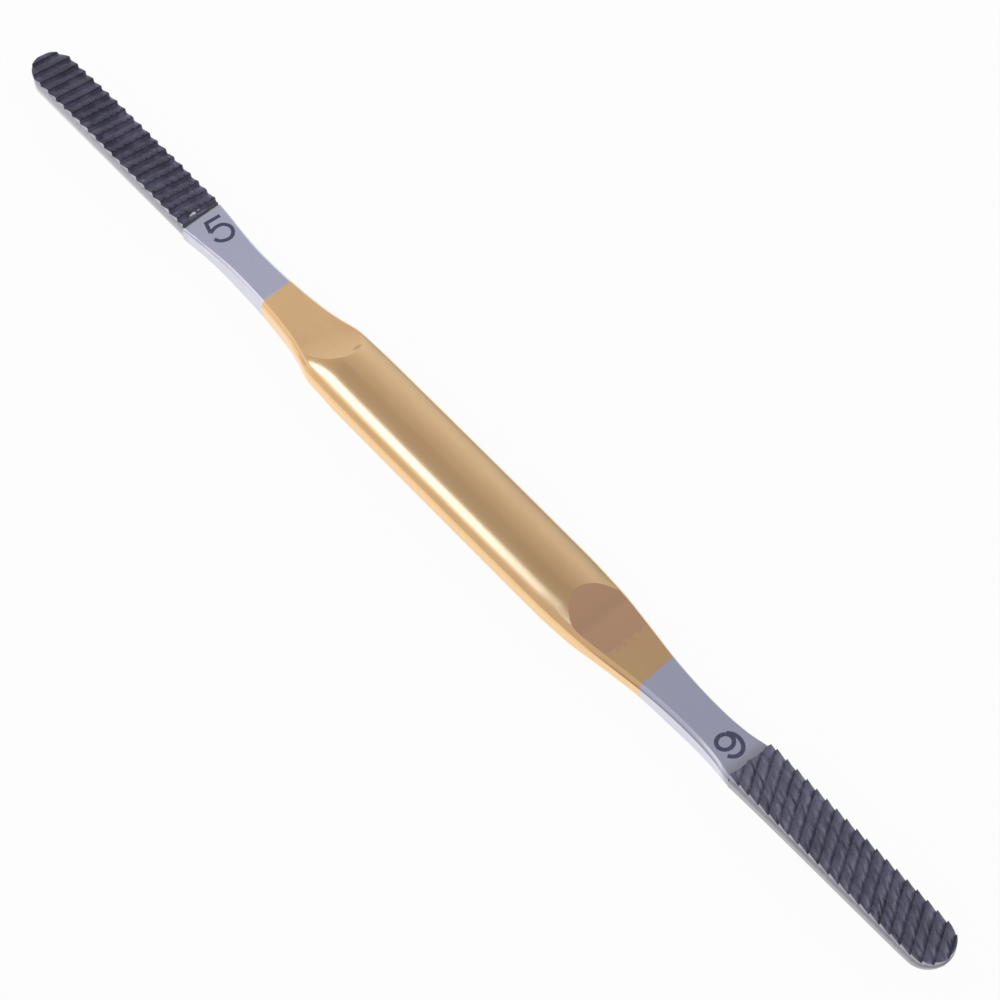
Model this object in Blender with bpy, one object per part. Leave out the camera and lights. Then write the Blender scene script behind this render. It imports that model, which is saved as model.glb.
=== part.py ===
"""Double-ended bone rasp: a forged steel body with a carbide rasp plate brazed on the seat at each end.

Metres, +Z up. +X runs along the tool towards the wider rasp. The handle's underside lies on z = 0.
"""

import math
from collections import namedtuple

import bmesh
import bpy
from mathutils import Vector

MM = 0.001

# Overall tool
LENGTH = 209.5 * MM
HANDLE_WIDTH = 11.1 * MM  # in the middle
BARREL = 0.1 * MM  # how much narrower the handle is where the end profiles take over
LOWER_CORNER = 0.8 * MM  # height of the handle's lower edge, before it is rounded
UPPER_CORNER = 5.55 * MM  # height of the handle's upper edge, before it is rounded
CROWN = 0.8 * MM  # how far the top and the underside bulge out between their edges
EDGE_RADIUS = 0.8 * MM
PLATED_LENGTH = 88.6 * MM  # the gold-plated middle

# Necks
NECK_TOP = 5.66 * MM  # height of the ground flat on the neck
NECK_CROWN = 0.15 * MM
NECK_GRIND = 0.12 * MM  # how much of the crown under the neck is ground away
NECK_START = 26.0 * MM  # the edges start to change here, from the tool's middle
NECK_SETTLED = 38.0 * MM  # and are the neck's own from here on
BASE_START = 52.0 * MM  # until the blade's base starts

# Blades and their seats
SEAT_TOP = 4.72 * MM
BLADE_EDGE_RADIUS = 0.45 * MM
BLADE_SETBACK = 0.3 * MM  # of the blade's tip from the plate's

# Carbide plates
BRAZE_GAP = 0.2 * MM
PLATE_WEB = 0.25 * MM  # what is left under the deepest row
TOOTH_DEPTH = 0.82 * MM
TOOTH_PITCH = 2.08 * MM  # along the tool
TOOTH_FRONT_LEAN = math.radians(12.0)  # of the steep cutting face, which looks at the handle
CROSS_CUT_DEPTH = 0.3 * MM
CROSS_CUT_WIDTH = 0.55 * MM
CROSS_CUT_LAND = 0.25 * MM  # height above the crests up to which its sides slope
CROSS_CUT_PITCH = 1.05 * MM
CROSS_CUT_ANGLE = math.radians(12.9)  # from the tool's length

End = namedtuple(
    "End",
    "number side widths undersides blade_length blade_width blade_tip_width neck_corner"
    " neck_edge_radius base_edge_radius facet_end under_facet_end facet_radius facet_skew crest"
    " relief_length tip_relief tip_cap tooth_angle first_tooth",
)
# The widths of the shoulder and neck and the heights of the underside are given in millimetres, each with its
# distance from the tool's middle. The facets' ends are such distances too, and the skew is the slope by which
# the top facet's edge is turned in plan. The neck corner is the height of the neck's upper edge before it is
# ground. The crests fall off by the tip relief over the last part of the plate, the relief length.
END_5 = End(
    number=5,
    side=-1,
    widths=(
        (22.0, 11.0),
        (27.6, 10.78),
        (30.9, 10.42),
        (34.1, 8.96),
        (37.4, 7.80),
        (44.1, 6.56),
        (51.2, 6.20),
        (58.3, 6.82),
        (64.0, 7.50),
    ),
    undersides=((38.0, 1.60), (44.0, 1.75), (51.0, 2.00), (57.0, 2.75), (63.0, 2.75), (104.6, 2.45)),
    blade_length=41.75 * MM,
    blade_width=7.0 * MM,
    blade_tip_width=6.9 * MM,
    neck_corner=5.63 * MM,
    neck_edge_radius=0.98 * MM,
    base_edge_radius=0.35 * MM,
    facet_end=33.0 * MM,
    under_facet_end=28.5 * MM,
    facet_radius=21.0 * MM,
    facet_skew=0.30,
    crest=6.6 * MM,
    relief_length=15.0 * MM,
    tip_relief=0.95 * MM,
    tip_cap=3.9 * MM,
    tooth_angle=math.radians(-6.8),
    first_tooth=1.95 * MM,
)
END_6 = End(
    number=6,
    side=1,
    widths=(
        (22.0, 11.0),
        (28.8, 10.52),
        (31.8, 10.12),
        (38.1, 8.55),
        (44.3, 6.95),
        (50.2, 6.08),
        (56.0, 5.94),
        (60.0, 6.52),
        (64.0, 7.80),
    ),
    undersides=(
        (42.0, 1.40),
        (50.0, 0.80),
        (56.0, 0.95),
        (60.0, 1.40),
        (65.0, 2.75),
        (99.0, 3.15),
        (104.6, 3.70),
    ),
    blade_length=41.15 * MM,
    blade_width=8.0 * MM,
    blade_tip_width=7.45 * MM,
    neck_corner=5.8 * MM,
    neck_edge_radius=0.9 * MM,
    base_edge_radius=0.7 * MM,
    facet_end=32.6 * MM,
    under_facet_end=30.0 * MM,
    facet_radius=30.0 * MM,
    facet_skew=-0.02,
    crest=6.8 * MM,
    relief_length=8.0 * MM,
    tip_relief=0.15 * MM,
    tip_cap=3.6 * MM,
    tooth_angle=math.radians(32.0),
    first_tooth=0.45 * MM,
)

# How finely curved forms are divided
CROWN_STEPS = 11  # an odd number, so that one facet lies level
EDGE_STEPS = 3
TIP_STEPS = 7
NECK_STEP = 1.5 * MM
HANDLE_STEP = 6.5 * MM
BLADE_STEP = 12.0 * MM
PLATE_TIP_STEPS = 9
FACET_STEPS = 12
CUT_CLEARANCE = 3.0 * MM  # how far a cutter runs past what it cuts
FACET_CLEARANCE = 0.4 * MM  # how far a facet's curve is carried on above the crown
BLANK_CLEARANCE = 1.0 * MM  # how much taller a plate's blank is than its teeth
MERGE_DISTANCE = 0.001 * MM  # the sections' points meet within this at the tip
CROWNED_WIDTH = HANDLE_WIDTH / 4  # sections with less half width than this get a lower crown
LARGEST_ROUNDING = 0.45  # of the edges, as a share of the half width

HALF_LENGTH = LENGTH / 2
BLADE_END = HALF_LENGTH - BLADE_SETBACK


def clear_scene():
    for old in list(bpy.data.objects):
        bpy.data.objects.remove(old, do_unlink=True)


def principled(name, colour, roughness, metallic):
    material = bpy.data.materials.new(name)
    material.use_nodes = True
    shader = material.node_tree.nodes["Principled BSDF"]
    shader.inputs["Base Color"].default_value = (*colour, 1.0)
    shader.inputs["Roughness"].default_value = roughness
    shader.inputs["Metallic"].default_value = metallic
    material.diffuse_color = (*colour, 1.0)
    return material


def link_object(name, mesh):
    made = bpy.data.objects.new(name, mesh)
    bpy.context.scene.collection.objects.link(made)
    return made


def smoothstep(value, start, stop):
    share = min(max((value - start) / (stop - start), 0.0), 1.0)
    return share * share * (3.0 - 2.0 * share)


def mix(first, second, share):
    return first + (second - first) * share


def smooth_curve(points, at):
    """Height, at a distance, of a smooth curve through points (distance, height), level beyond both ends."""
    if at <= points[0][0]:
        return points[0][1]
    if at >= points[-1][0]:
        return points[-1][1]
    index = max(i for i in range(len(points) - 1) if points[i][0] <= at)
    first, second = points[index], points[index + 1]
    span = second[0] - first[0]
    share = (at - first[0]) / span
    before = slope_at(points, index) * span
    after = slope_at(points, index + 1) * span
    rise = smoothstep(share, 0.0, 1.0)
    bend = share * (1.0 - share) * (before * (1.0 - share) - after * share)
    return mix(first[1], second[1], rise) + bend


def slope_at(points, index):
    """Slope of the smooth curve at one of its points: that of the line between the points on both sides."""
    if index in (0, len(points) - 1):
        return 0.0
    before, after = points[index - 1], points[index + 1]
    return (after[1] - before[1]) / (after[0] - before[0])


def arc_rise(distance, radius):
    """How far an arc has left its tangent at this distance along it."""
    return radius - math.sqrt(radius**2 - min(distance, radius) ** 2)


def end_at(x):
    return END_5 if x < 0 else END_6


def seat_start(end):
    return HALF_LENGTH - end.blade_length


def half_width(x, tip=BLADE_END):
    """Half the width of the outline seen from above, with its rounded end at the distance tip."""
    end = end_at(x)
    distance = abs(x)
    barrel_end = end.widths[0][0] * MM
    if distance < barrel_end:
        return HANDLE_WIDTH / 2 - BARREL / 2 * (distance / barrel_end) ** 2
    if distance < seat_start(end):
        return smooth_curve(end.widths, distance / MM) * MM / 2
    along = (distance - seat_start(end)) / end.blade_length
    width = mix(end.blade_width, end.blade_tip_width, along) / 2
    into_tip = (distance - (tip - end.tip_cap)) / end.tip_cap
    return max(width * math.sqrt(max(1.0 - max(into_tip, 0.0) ** 2, 0.0)), MERGE_DISTANCE / 4)


def neck_share(x):
    return smoothstep(abs(x), NECK_START, NECK_SETTLED)


def underside(x):
    """Height of the flat underside of the neck and the blade."""
    return smooth_curve(end_at(x).undersides, abs(x) / MM) * MM


def edge_radius(x):
    """Radius of the rounded edges, which changes along the neck and gets sharper on the blade."""
    end = end_at(x)
    base = seat_start(end)
    to_base = smoothstep(abs(x), BASE_START, base)
    to_blade = smoothstep(abs(x), base - NECK_STEP, base + NECK_STEP)
    radius = mix(EDGE_RADIUS, end.neck_edge_radius, neck_share(x))
    radius = mix(radius, end.base_edge_radius, to_base)
    return min(mix(radius, BLADE_EDGE_RADIUS, to_blade), LARGEST_ROUNDING * half_width(x))


def crowned_arch(width, corner, crown, radius):
    """Points (across, height) of an arch over a flat wall, from -width to +width.

    The crown is an arc through both corners, and a fillet of the given radius joins it to each wall. Its
    facets touch the arc from outside, so that the middle one lies level at the crown's full height.
    """
    crown_radius = (width**2 + crown**2) / (2 * crown)
    middle = corner + crown - crown_radius
    reach = math.sqrt((crown_radius - radius) ** 2 - (width - radius) ** 2)
    meeting = math.atan2(width - radius, reach)
    points = []
    for step in range(EDGE_STEPS + 1):
        angle = mix(math.pi / 2, meeting, step / EDGE_STEPS)
        across = width - radius + radius * math.sin(angle)
        points.append((-across, middle + reach + radius * math.cos(angle)))
    outer_radius = crown_radius / math.cos(meeting / CROWN_STEPS)
    for step in range(1, CROWN_STEPS):
        angle = mix(-meeting, meeting, step / CROWN_STEPS)
        points.append((outer_radius * math.sin(angle), middle + outer_radius * math.cos(angle)))
    return points + [(-across, height) for across, height in reversed(points[: EDGE_STEPS + 1])]


def section(x):
    """The closed outline of the body, cut across at x, before its flats are ground."""
    width = half_width(x)
    share = neck_share(x)
    crown = mix(CROWN, NECK_CROWN, share) * min(width / CROWNED_WIDTH, 1.0)
    radius = edge_radius(x)
    top_corner = mix(UPPER_CORNER, end_at(x).neck_corner, share)
    low_corner = mix(LOWER_CORNER, underside(x) + NECK_CROWN - NECK_GRIND, share)
    upper = crowned_arch(width, top_corner, crown, radius)
    lower = crowned_arch(width, -low_corner, crown, radius)
    return upper + [(across, -height) for across, height in reversed(lower)]


def evenly(start, stop, longest):
    count = max(math.ceil((stop - start) / longest), 1)
    return [mix(start, stop, step / count) for step in range(count)]


def stations(end):
    """Distances from the middle at which the body is sectioned, out to the start of the tip."""
    base = seat_start(end)
    settled = base + 2 * NECK_STEP
    found = evenly(0.0, NECK_START, HANDLE_STEP)
    found += evenly(NECK_START, base, NECK_STEP) + evenly(base, settled, NECK_STEP)
    found += evenly(settled, BLADE_END - end.tip_cap, BLADE_STEP)
    return sorted(set(found + [PLATED_LENGTH / 2]))


def tip_stations(end, tip, steps):
    """Distances from the middle at which the rounded end of the outline is drawn, up to the tip."""
    start = tip - end.tip_cap
    return [start + end.tip_cap * math.sin(math.pi / 2 * step / steps) for step in range(steps + 1)]


def body_mesh():
    """The forged body, lofted through its sections from one tip to the other."""
    left = stations(END_5) + tip_stations(END_5, BLADE_END, TIP_STEPS)
    right = stations(END_6) + tip_stations(END_6, BLADE_END, TIP_STEPS)
    places = [-x for x in reversed(left)] + right[1:]
    form = bmesh.new()
    rings = [[form.verts.new((x, y, z)) for y, z in section(x)] for x in places]
    for first, second in zip(rings, rings[1:]):
        for i in range(len(first)):
            j = (i + 1) % len(first)
            form.faces.new((first[i], first[j], second[j], second[i]))
    bmesh.ops.remove_doubles(form, verts=form.verts, dist=MERGE_DISTANCE)
    bmesh.ops.recalc_face_normals(form, faces=form.faces)
    for face in form.faces:
        face.material_index = 0 if abs(face.calc_center_median().x) < PLATED_LENGTH / 2 else 1
        face.smooth = True
    mesh = bpy.data.meshes.new("file_body")
    form.to_mesh(mesh)
    form.free()
    return mesh


def extruded(name, outline, lift):
    """A prism from an outline of points, pushed along the vector lift."""
    form = bmesh.new()
    base = form.faces.new([form.verts.new(point) for point in outline])
    grown = bmesh.ops.extrude_face_region(form, geom=[base])
    moved = [item for item in grown["geom"] if isinstance(item, bmesh.types.BMVert)]
    bmesh.ops.translate(form, verts=moved, vec=lift)
    bmesh.ops.recalc_face_normals(form, faces=form.faces)
    mesh = bpy.data.meshes.new(name)
    form.to_mesh(mesh)
    form.free()
    return mesh


def cut(target, mesh):
    """Takes the mesh's form away from the target."""
    cutter = link_object(mesh.name, mesh)
    cutter.hide_render = True
    cutter.display_type = "WIRE"
    modifier = target.modifiers.new(mesh.name, "BOOLEAN")
    modifier.operation = "DIFFERENCE"
    modifier.solver = "EXACT"
    modifier.object = cutter


def facet_curve(start, radius, flat, clear):
    """Points (distance, height) of a ground facet: an arc that leaves the flat and runs out over the crown.

    The heights are in the direction in which the facet is cut, so clear is a height that no metal reaches.
    """
    reach = math.sqrt(2 * radius * (clear - flat))
    points = []
    for step in range(FACET_STEPS + 1):
        back = reach * (1.0 - step / FACET_STEPS)
        points.append((start - back, flat + arc_rise(back, radius)))
    return points


def top_facet(end):
    """What is ground off the top: the handle's facet and the flat of the neck."""
    clear = UPPER_CORNER + CROWN + FACET_CLEARANCE
    profile = facet_curve(end.facet_end, end.facet_radius, NECK_TOP, clear)
    profile += [(PLATED_LENGTH / 2, NECK_TOP), (HALF_LENGTH, NECK_TOP), (HALF_LENGTH, clear)]
    return ground_off(end, f"top_facet_{end.number}", profile, end.facet_skew)


def plate_seat(end):
    """What is milled off the top of the blade, to seat the carbide plate."""
    clear = UPPER_CORNER + CROWN + CUT_CLEARANCE
    beyond = HALF_LENGTH + CUT_CLEARANCE
    base = seat_start(end)
    profile = [(base, clear), (base, SEAT_TOP), (beyond, SEAT_TOP), (beyond, clear)]
    return ground_off(end, f"plate_seat_{end.number}", profile, 0.0)


def underside_grind(end):
    """What is ground off the underside: the handle's facet, the neck and the underside of the blade."""
    clear = -FACET_CLEARANCE
    beyond = HALF_LENGTH + CUT_CLEARANCE
    settled = end.undersides[0][0] * MM
    curve = facet_curve(end.under_facet_end, end.facet_radius, -underside(end.side * settled), -clear)
    profile = [(distance, -height) for distance, height in curve]
    base = seat_start(end)
    distances = evenly(settled, base, NECK_STEP) + [base, BLADE_END - end.tip_cap, BLADE_END, beyond]
    plated = PLATED_LENGTH / 2
    if plated > settled:
        distances.append(plated)
    for distance in sorted(set(distances)):
        profile.append((distance, underside(end.side * distance)))
    profile.append((beyond, clear))
    return ground_off(end, f"underside_grind_{end.number}", profile, 0.0)


def ground_off(end, name, profile, skew):
    """A prism across the tool from a profile of (distance, height), its ends turned in plan by the skew."""
    across = HANDLE_WIDTH + 2 * CUT_CLEARANCE
    lift = Vector((skew * across, across, 0.0))
    middle = [Vector((end.side * distance, 0.0, height)) for distance, height in profile]
    mesh = extruded(name, [point - lift / 2 for point in middle], lift)
    for polygon in mesh.polygons:
        polygon.material_index = 0 if abs(polygon.center.x) < PLATED_LENGTH / 2 else 1
    return mesh


def make_body():
    finishes = [
        principled("gold_plating", (0.80, 0.56, 0.27), 0.24, 1.0),
        principled("satin_steel", (0.58, 0.58, 0.63), 0.32, 1.0),
    ]
    body = link_object("file_body", body_mesh())
    for end in (END_5, END_6):
        for shape in (top_facet(end), plate_seat(end), underside_grind(end)):
            for finish in finishes:
                shape.materials.append(finish)
            cut(body, shape)
    for finish in finishes:
        body.data.materials.append(finish)
    return body


def plate_outline(end):
    """Outline of a plate seen from above, from just short of the step of its seat to the tool's end."""
    distances = [seat_start(end) + BRAZE_GAP] + tip_stations(end, HALF_LENGTH, PLATE_TIP_STEPS)[:-1]
    near = [(end.side * distance, half_width(end.side * distance, HALF_LENGTH)) for distance in distances]
    return near + [(end.side * HALF_LENGTH, 0.0)] + [(x, -width) for x, width in reversed(near)]


def crest_height(end, distance):
    into_relief = (distance - (HALF_LENGTH - end.relief_length)) / end.relief_length
    return end.crest - end.tip_relief * min(max(into_relief, 0.0), 1.0)


def tooth_rows(end):
    """The comb that cuts the rows: a saw profile, swept along the rows' slanted direction.

    Each tooth has a steep face towards the handle and slopes down from its crest towards the tip.
    """
    deepest = SEAT_TOP + BRAZE_GAP + PLATE_WEB
    front = TOOTH_DEPTH * math.tan(TOOTH_FRONT_LEAN)
    shear = math.tan(end.tooth_angle) * end.blade_width
    clear = end.crest + CUT_CLEARANCE
    start = seat_start(end) - abs(shear) - TOOTH_PITCH + end.first_tooth
    count = math.ceil((HALF_LENGTH + abs(shear) + TOOTH_PITCH - start) / TOOTH_PITCH)
    profile = []
    for tooth in range(count + 1):
        distance = start + tooth * TOOTH_PITCH
        crest = crest_height(end, distance)
        profile += [(distance, max(crest - TOOTH_DEPTH, deepest)), (distance + front, crest)]
    profile += [(profile[-1][0], clear), (start, clear)]
    width = end.blade_width
    outline = [(end.side * distance - shear, width, height) for distance, height in profile]
    return extruded(f"tooth_rows_{end.number}", outline, (2 * shear, -2 * width, 0.0))


def cross_cuts(end):
    """The comb of shallow V cuts, nearly along the tool, that part each row into single teeth."""
    middle = end.side * (HALF_LENGTH - end.blade_length / 2)
    reach = end.blade_length
    along = (math.cos(CROSS_CUT_ANGLE), math.sin(CROSS_CUT_ANGLE))
    spread = end.blade_width / 2 + reach / 2 * math.sin(CROSS_CUT_ANGLE)
    count = math.ceil(2 * spread / CROSS_CUT_PITCH)
    clear = end.crest + CUT_CLEARANCE
    start = -count * CROSS_CUT_PITCH / 2
    land = end.crest + CROSS_CUT_LAND
    half = CROSS_CUT_WIDTH / 2
    profile = []
    for groove in range(count):
        across = start + (groove + 0.5) * CROSS_CUT_PITCH
        profile += [(across - half, land), (across, end.crest - CROSS_CUT_DEPTH), (across + half, land)]
    profile += [(-start, land), (-start, clear), (start, clear), (start, land)]
    outline = []
    for across, height in profile:
        x = middle - along[0] * reach - along[1] * across
        y = -along[1] * reach + along[0] * across
        outline.append((x, y, height))
    return extruded(f"cross_cuts_{end.number}", outline, (2 * along[0] * reach, 2 * along[1] * reach, 0.0))


def make_plate(end, material):
    floor = SEAT_TOP + BRAZE_GAP
    outline = [(x, y, floor) for x, y in plate_outline(end)]
    blank = end.crest + BLANK_CLEARANCE - floor
    name = f"rasp_plate_{end.number}"
    plate = link_object(name, extruded(name, outline, (0.0, 0.0, blank)))
    plate.data.materials.append(material)
    cut(plate, tooth_rows(end))
    cut(plate, cross_cuts(end))
    return plate


def main():
    clear_scene()
    make_body()
    carbide = principled("tungsten_carbide", (0.085, 0.080, 0.105), 0.42, 0.85)
    for end in (END_5, END_6):
        make_plate(end, carbide)


main()
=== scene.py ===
"""The bone file as it looks: ground and plated steel body, toothed carbide plates, solder and number marks.

The body and both rasp plates are rebuilt here finely and stand for their solids. The cross cuts of the wider
rasp are shallower here than in its solid. Metres, +Z up, +X towards the wider rasp.
"""

import math
import random
from collections import namedtuple

import bmesh
import bpy
from mathutils import Matrix, Vector

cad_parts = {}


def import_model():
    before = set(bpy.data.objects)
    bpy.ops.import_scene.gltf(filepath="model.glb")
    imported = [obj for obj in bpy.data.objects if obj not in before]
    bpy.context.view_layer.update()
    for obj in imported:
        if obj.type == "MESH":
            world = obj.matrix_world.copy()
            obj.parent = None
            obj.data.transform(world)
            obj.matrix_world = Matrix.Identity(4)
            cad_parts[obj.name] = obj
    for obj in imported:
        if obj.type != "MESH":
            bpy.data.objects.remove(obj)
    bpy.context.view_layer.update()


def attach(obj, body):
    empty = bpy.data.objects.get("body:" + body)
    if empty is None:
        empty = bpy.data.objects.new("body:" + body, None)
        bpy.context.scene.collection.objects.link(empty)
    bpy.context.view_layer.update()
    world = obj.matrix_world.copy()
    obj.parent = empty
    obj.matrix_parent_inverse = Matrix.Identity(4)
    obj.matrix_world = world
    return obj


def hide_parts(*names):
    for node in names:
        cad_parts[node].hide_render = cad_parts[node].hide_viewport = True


MM = 0.001
BODY = "root"

# Overall tool
LENGTH = 209.5 * MM
HANDLE_WIDTH = 11.1 * MM
BARREL = 0.1 * MM
LOWER_CORNER = 0.8 * MM
UPPER_CORNER = 5.55 * MM
CROWN = 0.8 * MM
EDGE_RADIUS = 0.8 * MM
PLATED_LENGTH = 88.6 * MM

# Necks and blades
NECK_TOP = 5.66 * MM
NECK_CROWN = 0.15 * MM
NECK_GRIND = 0.12 * MM
NECK_START = 26.0 * MM
NECK_SETTLED = 38.0 * MM
BASE_START = 52.0 * MM
SEAT_TOP = 4.72 * MM
BLADE_EDGE_RADIUS = 0.45 * MM
BLADE_SETBACK = 0.3 * MM

# Plates and teeth
BRAZE_GAP = 0.2 * MM
PLATE_WEB = 0.25 * MM
TOOTH_DEPTH = 0.82 * MM
TOOTH_PITCH = 2.08 * MM
TOOTH_FRONT_LEAN = math.radians(12.0)
CROSS_CUT_LAND = 0.25 * MM
CROSS_CUT_WIDTH = 0.55 * MM
CROSS_CUT_PITCH = 1.05 * MM
CROSS_CUT_ANGLE = math.radians(12.9)

End = namedtuple(
    "End",
    "number side widths undersides blade_length blade_width blade_tip_width neck_corner"
    " neck_edge_radius base_edge_radius facet_end under_facet_end facet_radius facet_skew crest"
    " relief_length tip_relief tip_cap tooth_angle first_tooth cross_cut_depth base_tone",
)
# Widths and undersides are in millimetres, each with its distance from the tool's middle.
END_5 = End(
    number=5,
    side=-1,
    widths=(
        (22.0, 11.0),
        (27.6, 10.78),
        (30.9, 10.42),
        (34.1, 8.96),
        (37.4, 7.80),
        (44.1, 6.56),
        (51.2, 6.20),
        (58.3, 6.82),
        (64.0, 7.50),
    ),
    undersides=((38.0, 1.60), (44.0, 1.75), (51.0, 2.00), (57.0, 2.75), (63.0, 2.75), (104.6, 2.45)),
    blade_length=41.75 * MM,
    blade_width=7.0 * MM,
    blade_tip_width=6.9 * MM,
    neck_corner=5.63 * MM,
    neck_edge_radius=0.98 * MM,
    base_edge_radius=0.35 * MM,
    facet_end=33.0 * MM,
    under_facet_end=28.5 * MM,
    facet_radius=21.0 * MM,
    facet_skew=0.30,
    crest=6.6 * MM,
    relief_length=15.0 * MM,
    tip_relief=0.95 * MM,
    tip_cap=3.9 * MM,
    tooth_angle=math.radians(-6.8),
    first_tooth=1.95 * MM,
    cross_cut_depth=0.3 * MM,
    base_tone=0.04,
)
END_6 = End(
    number=6,
    side=1,
    widths=(
        (22.0, 11.0),
        (28.8, 10.52),
        (31.8, 10.12),
        (38.1, 8.55),
        (44.3, 6.95),
        (50.2, 6.08),
        (56.0, 5.94),
        (60.0, 6.52),
        (64.0, 7.80),
    ),
    undersides=(
        (42.0, 1.40),
        (50.0, 0.80),
        (56.0, 0.95),
        (60.0, 1.40),
        (65.0, 2.75),
        (99.0, 3.15),
        (104.6, 3.70),
    ),
    blade_length=41.15 * MM,
    blade_width=8.0 * MM,
    blade_tip_width=7.45 * MM,
    neck_corner=5.8 * MM,
    neck_edge_radius=0.9 * MM,
    base_edge_radius=0.7 * MM,
    facet_end=32.6 * MM,
    under_facet_end=30.0 * MM,
    facet_radius=30.0 * MM,
    facet_skew=-0.02,
    crest=6.8 * MM,
    relief_length=8.0 * MM,
    tip_relief=0.15 * MM,
    tip_cap=3.6 * MM,
    tooth_angle=math.radians(32.0),
    first_tooth=0.45 * MM,
    cross_cut_depth=0.14 * MM,
    base_tone=0.11,
)

HALF_LENGTH = LENGTH / 2
BLADE_END = HALF_LENGTH - BLADE_SETBACK
CROWNED_WIDTH = HANDLE_WIDTH / 4
LARGEST_ROUNDING = 0.45
NARROWEST = 0.01 * MM
BLADE_BLEND = 1.5 * MM  # over which the edges turn into the blade's, on both sides of its base
FACETS_FAR, FACETS_NEAR = 8.0 * MM, 22.0 * MM  # from the middle, where the facets' reach begins to count
CUT_CLEARANCE = 3.0 * MM  # how far a cutter rises above the crests
BLANK_CLEARANCE = 1.0 * MM  # how much taller a plate's blank is than its teeth

# Camera
CAMERA_ELEVATION = math.radians(57.39)
CAMERA_TURN = math.radians(49.70)
CAMERA_DISTANCE = 0.6244
CAMERA_RIGHT = 0.005588
CAMERA_UP = -0.000636
CAMERA_AIM_HEIGHT = 0.00024
SENSOR_WIDTH = 36.0
LENS = 149.83


# Small helpers


def smoothstep(value, start, stop):
    share = min(max((value - start) / (stop - start), 0.0), 1.0)
    return share * share * (3.0 - 2.0 * share)


def mix(first, second, share):
    return first + (second - first) * share


def arc_rise(distance, radius):
    """How far an arc has left its tangent at this distance along it."""
    if distance <= 0.0:
        return 0.0
    return radius - math.sqrt(radius**2 - min(distance, radius) ** 2)


def slope_at(points, index):
    if index in (0, len(points) - 1):
        return 0.0
    before, after = points[index - 1], points[index + 1]
    return (after[1] - before[1]) / (after[0] - before[0])


def smooth_curve(points, at):
    """Height at a distance of a smooth curve through points (distance, height), level beyond both ends."""
    if at <= points[0][0]:
        return points[0][1]
    if at >= points[-1][0]:
        return points[-1][1]
    index = max(i for i in range(len(points) - 1) if points[i][0] <= at)
    first, second = points[index], points[index + 1]
    span = second[0] - first[0]
    share = (at - first[0]) / span
    before = slope_at(points, index) * span
    after = slope_at(points, index + 1) * span
    rise = smoothstep(share, 0.0, 1.0)
    bend = share * (1.0 - share) * (before * (1.0 - share) - after * share)
    return mix(first[1], second[1], rise) + bend


def evenly(start, stop, longest):
    count = max(math.ceil((stop - start) / longest), 1)
    return [mix(start, stop, step / count) for step in range(count)]


def made(name, mesh, *materials):
    piece = bpy.data.objects.new(name, mesh)
    bpy.context.scene.collection.objects.link(piece)
    for material in materials:
        piece.data.materials.append(material)
    return piece


def mesh_from(name, form):
    mesh = bpy.data.meshes.new(name)
    form.to_mesh(mesh)
    form.free()
    return mesh


def end_at(x):
    return END_5 if x < 0 else END_6


def seat_start(end):
    return HALF_LENGTH - end.blade_length


# The body's outline and section


def half_width(x, blade=False, tip=BLADE_END):
    """Half the width of the outline seen from above. At the seat's step the blade's own can be asked for."""
    end = end_at(x)
    distance = abs(x)
    barrel_end = end.widths[0][0] * MM
    if distance < barrel_end:
        return HANDLE_WIDTH / 2 - BARREL / 2 * (distance / barrel_end) ** 2
    if distance <= seat_start(end) and not blade:
        return smooth_curve(end.widths, distance / MM) * MM / 2
    along = (distance - seat_start(end)) / end.blade_length
    width = mix(end.blade_width, end.blade_tip_width, along) / 2
    into_tip = (distance - (tip - end.tip_cap)) / end.tip_cap
    return max(width * math.sqrt(max(1.0 - max(into_tip, 0.0) ** 2, 0.0)), NARROWEST)


def neck_share(x):
    return smoothstep(abs(x), NECK_START, NECK_SETTLED)


def underside(x):
    return smooth_curve(end_at(x).undersides, abs(x) / MM) * MM


def edge_radius(x, width):
    end = end_at(x)
    base = seat_start(end)
    to_base = smoothstep(abs(x), BASE_START, base)
    to_blade = smoothstep(abs(x), base - BLADE_BLEND, base + BLADE_BLEND)
    radius = mix(EDGE_RADIUS, end.neck_edge_radius, neck_share(x))
    radius = mix(radius, end.base_edge_radius, to_base)
    return min(mix(radius, BLADE_EDGE_RADIUS, to_blade), LARGEST_ROUNDING * width)


def ground_top(x, y, blade):
    """Height of the ground surface over a point: the handle's facet, the flat of the neck, or the seat."""
    end = end_at(x)
    if blade:
        return SEAT_TOP
    back = max(end.facet_end - end.side * (x - end.facet_skew * y), 0.0)
    return NECK_TOP + back**2 / (2 * end.facet_radius)


def ground_underside(x):
    end = end_at(x)
    settled = end.undersides[0][0] * MM
    if abs(x) < settled:
        return underside(end.side * settled) - arc_rise(end.under_facet_end - abs(x), end.facet_radius)
    return underside(x)


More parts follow.
